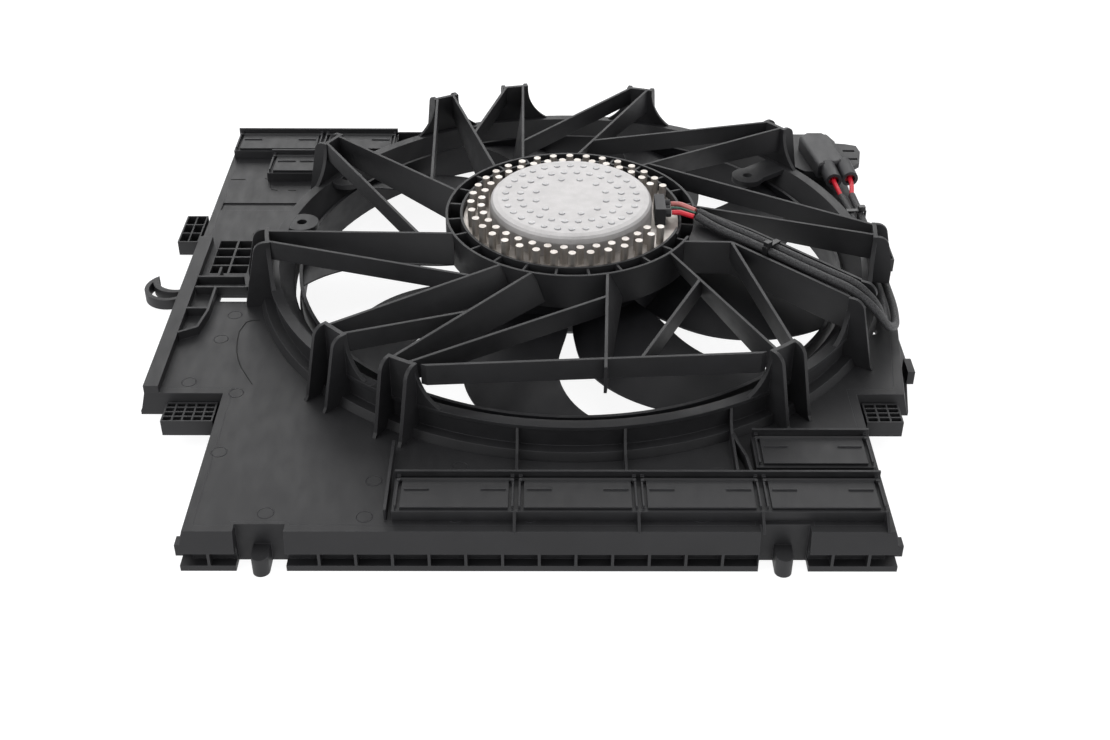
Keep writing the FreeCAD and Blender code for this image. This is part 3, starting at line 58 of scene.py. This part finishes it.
CAMERA_PLACE = Vector((-0.0211, -1.1325, 0.7278))
CAMERA_LENS = 47.59
SENSOR_WIDTH = 36.0
PITCH_DOWN = math.radians(35.37)
YAW = math.radians(-0.407)
ROLL = math.radians(0.349)
CLIP_END = 20
WHITE = (1.0, 1.0, 1.0, 1.0)
WORLD_LIGHT = 0.5
# Each lamp's name, place, width and height, and power in watts. All of them face the origin.
LAMPS = [
    ("back_panel", (0.0, 2.8, 1.7), (4.5, 1.7), 66),
    ("overhead", (0.0, 0.3, 2.2), (2.4, 1.6), 12),
    ("front_fill", (0.2, -2.4, 1.0), (2.2, 1.2), 10),
    ("left_side", (-1.8, -0.9, 1.2), (1.0, 1.4), 16),
    ("right_side", (1.8, -0.6, 1.1), (1.0, 1.4), 9),
]
FLOOR_REACH = 6.0
FLOOR_GLOW = 0.9
FLOOR_TONE = (0.25, 0.25, 0.26, 1)
FLOOR_ROUGHNESS = 0.9


def make_camera():
    """The photograph's camera: a short telephoto that looks down at the part from its front."""
    data = bpy.data.cameras.new("camera")
    data.lens = CAMERA_LENS
    data.sensor_width = SENSOR_WIDTH
    data.clip_end = CLIP_END
    camera = bpy.data.objects.new("camera", data)
    bpy.context.scene.collection.objects.link(camera)
    turn = (Matrix.Rotation(YAW, 4, "Z") @ Matrix.Rotation(math.pi / 2 - PITCH_DOWN, 4, "X")
            @ Matrix.Rotation(ROLL, 4, "Z"))
    camera.matrix_world = Matrix.Translation(CAMERA_PLACE) @ turn
    bpy.context.scene.camera = camera


def area_light(name, place, size, power):
    """A soft rectangular lamp that faces the origin."""
    data = bpy.data.lights.new(name, "AREA")
    data.shape = "RECTANGLE"
    data.size, data.size_y = size
    data.energy = power
    light = bpy.data.objects.new(name, data)
    bpy.context.scene.collection.objects.link(light)
    light.location = place
    aim = Vector() - Vector(place)
    light.rotation_euler = aim.to_track_quat("-Z", "Y").to_euler()


def make_studio():
    """A white room with the five soft lamps: behind, overhead, in front and at each side of the part."""
    world = bpy.data.worlds.new("studio")
    bpy.context.scene.world = world
    world.use_nodes = True
    background = world.node_tree.nodes["Background"]
    background.inputs["Color"].default_value = WHITE
    background.inputs["Strength"].default_value = WORLD_LIGHT
    for name, place, size, power in LAMPS:
        area_light(name, place, size, power)
    bpy.context.scene.view_settings.view_transform = "Standard"


def make_floor():
    """A pale floor that glows enough to stay white under the part."""
    mesh = bpy.data.meshes.new("floor")
    low = CAD_BOX[0][2]
    sides = [(-1, -1), (1, -1), (1, 1), (-1, 1)]
    mesh.from_pydata([(x * FLOOR_REACH, y * FLOOR_REACH, low) for x, y in sides], [], [(0, 1, 2, 3)])
    floor = bpy.data.objects.new("floor", mesh)
    bpy.context.scene.collection.objects.link(floor)
    material = bpy.data.materials.new("pale_floor")
    material.use_nodes = True
    shader = material.node_tree.nodes["Principled BSDF"]
    shader.inputs["Base Color"].default_value = FLOOR_TONE
    shader.inputs["Roughness"].default_value = FLOOR_ROUGHNESS
    shader.inputs["Emission Color"].default_value = WHITE
    shader.inputs["Emission Strength"].default_value = FLOOR_GLOW
    mesh.materials.append(material)


# ---------------------------------------------------------------- materials

BEVEL_SAMPLES = 4
# A corner gets the full painted highlight where the rounded normal and the true one agree to this cosine or
# less.
HIGHLIGHT_COSINE = 0.75


class Recipe:
    """A material's node tree, with short calls for the nodes that these materials share."""

    def __init__(self, name):
        self.material = bpy.data.materials.new(name)
        self.material.use_nodes = True
        self.nodes = self.material.node_tree.nodes
        self.links = self.material.node_tree.links
        self.shader = self.nodes["Principled BSDF"]
        self.place = self.nodes.new("ShaderNodeTexCoord").outputs["Object"]

    def link(self, output, target):
        self.links.new(output, target)

    def constants(self, **values):
        """Sets the shader's own sockets, such as Coat_Weight for the one called Coat Weight."""
        for key, value in values.items():
            self.shader.inputs[key.replace("_", " ")].default_value = value

    def texture(self, kind, size, stretch=(1, 1, 1)):
        """A texture node whose pattern repeats at about size metres."""
        scale = self.nodes.new("ShaderNodeMapping")
        scale.inputs["Scale"].default_value = [factor / size for factor in stretch]
        self.link(self.place, scale.inputs["Vector"])
        node = self.nodes.new(kind)
        node.inputs["Scale"].default_value = 1.0
        self.link(scale.outputs["Vector"], node.inputs["Vector"])
        return node

    def noise(self, size, detail=3.0, roughness=0.5, stretch=(1, 1, 1)):
        """Noise whose blotches are about size metres across."""
        node = self.texture("ShaderNodeTexNoise", size, stretch)
        node.inputs["Detail"].default_value = detail
        node.inputs["Roughness"].default_value = roughness
        return node.outputs["Fac"]

    def cells(self, size):
        """The distance to the middle of the nearest of many cells, each about size metres across."""
        return self.texture("ShaderNodeTexVoronoi", size).outputs["Distance"]

    def spread(self, value, low, high, to_low=0.0, to_high=1.0):
        """Maps low..high of a value to to_low..to_high."""
        node = self.nodes.new("ShaderNodeMapRange")
        node.inputs["From Min"].default_value = low
        node.inputs["From Max"].default_value = high
        node.inputs["To Min"].default_value = to_low
        node.inputs["To Max"].default_value = to_high
        self.link(value, node.inputs["Value"])
        return node.outputs["Result"]

    def blend(self, factor, first, second):
        """A colour between two, each an output or a plain colour."""
        node = self.nodes.new("ShaderNodeMix")
        node.data_type = "RGBA"
        self.link(factor, node.inputs["Factor"])
        for colour, socket in ((first, node.inputs["A"]), (second, node.inputs["B"])):
            if isinstance(colour, tuple):
                socket.default_value = (*colour, 1)
            else:
                self.link(colour, socket)
        return node.outputs["Result"]

    def edges(self, radius, strength):
        """A mask of the corners within a radius, where a painted highlight goes, and the normals rounded over
        them.
        """
        bevel = self.nodes.new("ShaderNodeBevel")
        bevel.samples = BEVEL_SAMPLES
        bevel.inputs["Radius"].default_value = radius
        true_normal = self.nodes.new("ShaderNodeNewGeometry").outputs["Normal"]
        dot = self.nodes.new("ShaderNodeVectorMath")
        dot.operation = "DOT_PRODUCT"
        self.link(bevel.outputs["Normal"], dot.inputs[0])
        self.link(true_normal, dot.inputs[1])
        # Painted highlight: this mask lightens the colour along corners, standing in for light caught on
        # rounded edges.
        highlight_mask = self.spread(dot.outputs["Value"], 1.0, HIGHLIGHT_COSINE, 0.0, strength)
        return highlight_mask, bevel.outputs["Normal"]

    def bump(self, height, distance, strength=1.0, normal=None):
        """Normals raised by a height, over the plain ones or over those given."""
        node = self.nodes.new("ShaderNodeBump")
        node.inputs["Distance"].default_value = distance
        node.inputs["Strength"].default_value = strength
        self.link(height, node.inputs["Height"])
        if normal is not None:
            self.link(normal, node.inputs["Normal"])
        return node.outputs["Normal"]

    def finish(self, colour, roughness, normal):
        for value, socket in ((colour, "Base Color"), (roughness, "Roughness"), (normal, "Normal")):
            self.link(value, self.shader.inputs[socket])
        return self.material


def moulded_plastic(name, dark, pale, gloss, grain=0.9 * MM, depth=0.05 * MM, edge=0.7 * MM, specular=0.4):
    """Glass-filled black plastic: fine grain, cloudy flow of the melt, and corners lightened by a painted
    highlight.
    """
    recipe = Recipe(name)
    recipe.constants(Specular_IOR_Level=specular)
    cloud = recipe.spread(recipe.noise(60 * MM, 4), 0.35, 0.65)
    streaks = recipe.spread(recipe.noise(9 * MM, 5, 0.6, (1, 0.35, 1)), 0.3, 0.7)
    fine = recipe.noise(grain, 2)
    body = recipe.blend(cloud, dark, tuple(0.5 * (a + b) for a, b in zip(dark, pale)))
    body = recipe.blend(recipe.spread(streaks, 0, 1, 0, 0.35), body, pale)
    # Painted highlight: corners lightened in the colour.
    edge_highlight, rounded = recipe.edges(edge, 0.55)
    colour = recipe.blend(edge_highlight, body, tuple(4.0 * value for value in pale))
    rough = recipe.spread(streaks, 0, 1, gloss, gloss + 0.12)
    return recipe.finish(colour, rough, recipe.bump(fine, depth, 0.6, rounded))


def metal(name, dark, pale, gloss, grain, depth, edge=0.3 * MM):
    """Cast or drawn metal: uneven tone, a sandy grain and corners lightened by a painted highlight."""
    recipe = Recipe(name)
    recipe.constants(Metallic=1.0)
    cloud = recipe.spread(recipe.noise(14 * MM, 5, 0.6), 0.3, 0.7)
    fine = recipe.noise(grain, 4)
    # Painted highlight: corners lightened in the colour.
    edge_highlight, rounded = recipe.edges(edge, 0.6)
    body = recipe.blend(cloud, dark, pale)
    colour = recipe.blend(edge_highlight, body, tuple(min(1.0, 1.25 * value) for value in pale))
    rough = recipe.spread(fine, 0.3, 0.7, gloss, gloss + 0.15)
    return recipe.finish(colour, rough, recipe.bump(fine, depth, 0.7, rounded))


def insulation(name, colour):
    """Smooth wire insulation with a faint unevenness and dust."""
    recipe = Recipe(name)
    recipe.constants(Specular_IOR_Level=0.5, Coat_Weight=0.15, Coat_Roughness=0.25)
    dust = recipe.spread(recipe.noise(4 * MM, 4), 0.45, 0.75, 0, 0.35)
    shade = recipe.blend(dust, colour, tuple(0.65 * value + 0.03 for value in colour))
    gloss = recipe.spread(dust, 0, 0.35, 0.32, 0.5)
    return recipe.finish(shade, gloss, recipe.bump(recipe.noise(1.2 * MM), 0.03 * MM))


def braid(name):
    """Woven black sleeve, a lattice of crossing strands."""
    recipe = Recipe(name)
    strands = recipe.cells(0.9 * MM)
    gloss = recipe.spread(strands, 0.0, 0.7, 0.35, 0.7)
    shade = recipe.blend(recipe.spread(strands, 0.15, 0.75), (0.045, 0.045, 0.048), (0.008, 0.008, 0.009))
    return recipe.finish(shade, gloss, recipe.bump(strands, -0.25 * MM, 0.8))


# The finish of each material slot of the CAD nodes.
MATERIALS = {
    "shroud_plastic": lambda: moulded_plastic(
        "shroud_black", (0.009, 0.009, 0.010), (0.018, 0.018, 0.020), 0.48),
    "rotor_plastic": lambda: moulded_plastic(
        "rotor_black", (0.005, 0.005, 0.006), (0.011, 0.011, 0.013), 0.48, specular=0.25),
    "cast_aluminium": lambda: metal(
        "cast_aluminium", (0.42, 0.39, 0.36), (0.60, 0.57, 0.54), 0.42, 0.7 * MM, 0.08 * MM),
    "cover_aluminium": lambda: metal(
        "cover_aluminium", (0.46, 0.45, 0.45), (0.53, 0.52, 0.52), 0.55, 0.7 * MM, 0.07 * MM),
    "board": lambda: moulded_plastic("board_green", (0.01, 0.06, 0.03), (0.02, 0.12, 0.06), 0.3),
    "can_aluminium": lambda: metal(
        "can_aluminium", (0.6, 0.6, 0.62), (0.75, 0.75, 0.77), 0.25, 0.5 * MM, 0.02 * MM),
    "core_steel": lambda: metal(
        "core_steel", (0.2, 0.2, 0.21), (0.32, 0.32, 0.33), 0.4, 0.5 * MM, 0.05 * MM),
    "winding_copper": lambda: metal(
        "winding_copper", (0.5, 0.2, 0.08), (0.72, 0.33, 0.15), 0.3, 0.6 * MM, 0.1 * MM),
    "steel": lambda: metal(
        "bright_steel", (0.45, 0.45, 0.46), (0.62, 0.62, 0.64), 0.25, 0.5 * MM, 0.02 * MM),
    "connector_plastic": lambda: moulded_plastic(
        "connector_grey", (0.012, 0.012, 0.014), (0.025, 0.025, 0.028), 0.45),
    "wire_red": lambda: insulation("wire_red", (0.62, 0.012, 0.03)),
    "wire_pink": lambda: insulation("wire_pink", (0.48, 0.14, 0.13)),
    "wire_green": lambda: insulation("wire_green", (0.02, 0.12, 0.08)),
    "sleeve": lambda: braid("sleeve_black"),
    "tie_plastic": lambda: moulded_plastic("tie_black", (0.01, 0.01, 0.011), (0.02, 0.02, 0.021), 0.3),
    "seal_rubber": lambda: insulation("seal_red", (0.35, 0.01, 0.015)),
    "magnet": lambda: metal(
        "magnet_grey", (0.08, 0.08, 0.085), (0.14, 0.14, 0.15), 0.5, 0.5 * MM, 0.05 * MM),
}


def dress_nodes():
    """Gives each CAD node the finish of its material slot. Returns the materials by slot."""
    made = {}
    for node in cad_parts.values():
        for place in node.material_slots:
            slot = place.material.name.split(".")[0]
            if slot not in made:
                made[slot] = MATERIALS[slot]()
            place.material = made[slot]
    return made


# ---------------------------------------------------------------- small raised details

PANEL_TOP = 34 * MM
COVER_TOP = 110 * MM
MERGE_DISTANCE = 1e-6
UP = Vector((0, 0, 1))
# The radius of each ring of rivets and how many it holds.
STUD_RINGS = [(57.5 * MM, 30), (44.5 * MM, 24), (31.5 * MM, 12)]
# Radii and heights in millimetres, from the rim to the middle. The rivets end just under the flat tops of the
# CAD studs.
STUD_PROFILE = [(2.95, 0.02), (2.85, 0.25), (2.6, 0.5), (2.2, 0.67), (0.0, 0.67)]
DISC_PROFILE = [(6.3, 0.02), (6.1, 0.14), (5.7, 0.15), (5.5, 0.05), (0.0, 0.05)]
DISC_SIDES = 32
SEAM_RADIUS = 0.45 * MM
# Places on the panel in millimetres.
DISC_PLACES = [
    (-268.5, -263.1), (-222.4, -333), (-148.4, -297), (-151.3, -337), (-294.6, -111.1), (-289.3, -74.3),
    (-309.1, -172.9), (-268.7, -187.7), (-85.6, -280.6), (-86, -337), (89.9, -337), (-32.6, -337),
]
SEAM_LINES = {
    "panel_seam": [
        (-266.5, -82.1), (-273.3, -82.9), (-278, -86), (-281.3, -100.5), (-280.4, -115), (-278.4, -129),
        (-275.2, -141), (-270.8, -152), (-264.9, -163), (-258, -175.5),
    ],
    "insert_seam_left": [(-336.2, 172), (-329.1, 172), (-321.6, 172)],
    "insert_seam_middle": [
        (-302.6, 174.2), (-298.9, 172.6), (-296.6, 167.9), (-294.8, 155.9), (-292.1, 151.1), (-286.4, 149.5),
    ],
    "insert_seam_right": [(-276.1, 149.5), (-268.2, 149.5)],
}


def turns(count, shift=0.0):
    """Angles evenly spaced round a circle, shifted by a share of their spacing."""
    return [2 * math.pi * (number + shift) / count for number in range(count)]


def on_panel(place):
    return Vector((place[0] * MM, place[1] * MM, PANEL_TOP))


def lathe_caps(name, places, profile, sides=24, smooth=True):
    """One mesh of round caps, each turned from a profile of radii and heights in millimetres."""
    mesh = bpy.data.meshes.new(name)
    work = bmesh.new()
    for centre in places:
        rings = []
        for radius, height in profile:
            top = Vector((0, 0, height * MM)) + centre
            if radius == 0.0:
                rings.append([work.verts.new(top)])
                continue
            rings.append([work.verts.new(top + Vector((math.cos(turn), math.sin(turn), 0)) * radius * MM)
                          for turn in turns(sides)])
        for lower, upper in zip(rings, rings[1:]):
            for step in range(sides):
                after = (step + 1) % sides
                if len(upper) == 1:
                    work.faces.new((lower[step], lower[after], upper[0]))
                else:
                    work.faces.new((lower[step], lower[after], upper[after], upper[step]))
        base = [work.verts.new(vertex.co) for vertex in rings[0]]
        work.faces.new(base[::-1])
    bmesh.ops.remove_doubles(work, verts=work.verts, dist=MERGE_DISTANCE)
    work.to_mesh(mesh)
    work.free()
    for face in mesh.polygons:
        face.use_smooth = smooth
    return mesh


def add_piece(name, mesh, material, body):
    """Puts a mesh into the scene as a piece that rides on a body."""
    piece = bpy.data.objects.new(name, mesh)
    bpy.context.scene.collection.objects.link(piece)
    mesh.materials.append(material)
    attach(piece, body)


def bead(name, points, radius, material, body, sides=8):
    """A thin round bead along a line of points, closed at both ends."""
    mesh = bpy.data.meshes.new(name)
    work = bmesh.new()
    rings = []
    for number, point in enumerate(points):
        before = points[max(number - 1, 0)]
        after = points[min(number + 1, len(points) - 1)]
        along = (after - before).normalized()
        across = along.cross(UP).normalized()
        rise = across.cross(along)
        rings.append([work.verts.new(point + (across * math.cos(turn) + rise * math.sin(turn)) * radius)
                      for turn in turns(sides)])
    for first, second in zip(rings, rings[1:]):
        for step in range(sides):
            after = (step + 1) % sides
            work.faces.new((first[step], first[after], second[after], second[step]))
    work.faces.new(rings[0][::-1])
    work.faces.new(rings[-1])
    work.to_mesh(mesh)
    work.free()
    add_piece(name, mesh, material, body)


def add_cover_studs(finishes):
    """The rings of round rivet heads on the motor's cover."""
    places = [Vector((circle * math.cos(turn), circle * math.sin(turn), COVER_TOP))
              for circle, count in STUD_RINGS for turn in turns(count, 0.5)]
    rivets = lathe_caps("cover_rivets", places, STUD_PROFILE)
    add_piece("cover_rivets", rivets, finishes["rivet"], "shroud")


def add_panel_marks(finishes):
    """Round ejector marks and the faint seam lines of the mould on the flat panel."""
    places = [on_panel(place) for place in DISC_PLACES]
    marks = lathe_caps("ejector_marks", places, DISC_PROFILE, DISC_SIDES, smooth=False)
    add_piece("ejector_marks", marks, finishes["shroud_plastic"], "shroud")
    for name, line in SEAM_LINES.items():
        bead(name, [on_panel(place) for place in line], SEAM_RADIUS, finishes["seam"], "shroud")


make_camera()
make_studio()
make_floor()
finishes = dress_nodes()
finishes["rivet"] = metal("rivet_grey", (0.30, 0.30, 0.31), (0.48, 0.48, 0.49), 0.3, 0.5 * MM, 0.02 * MM)
finishes["seam"] = moulded_plastic("seam_black", (0.003, 0.003, 0.003), (0.006, 0.006, 0.006), 0.6)
add_cover_studs(finishes)
add_panel_marks(finishes)
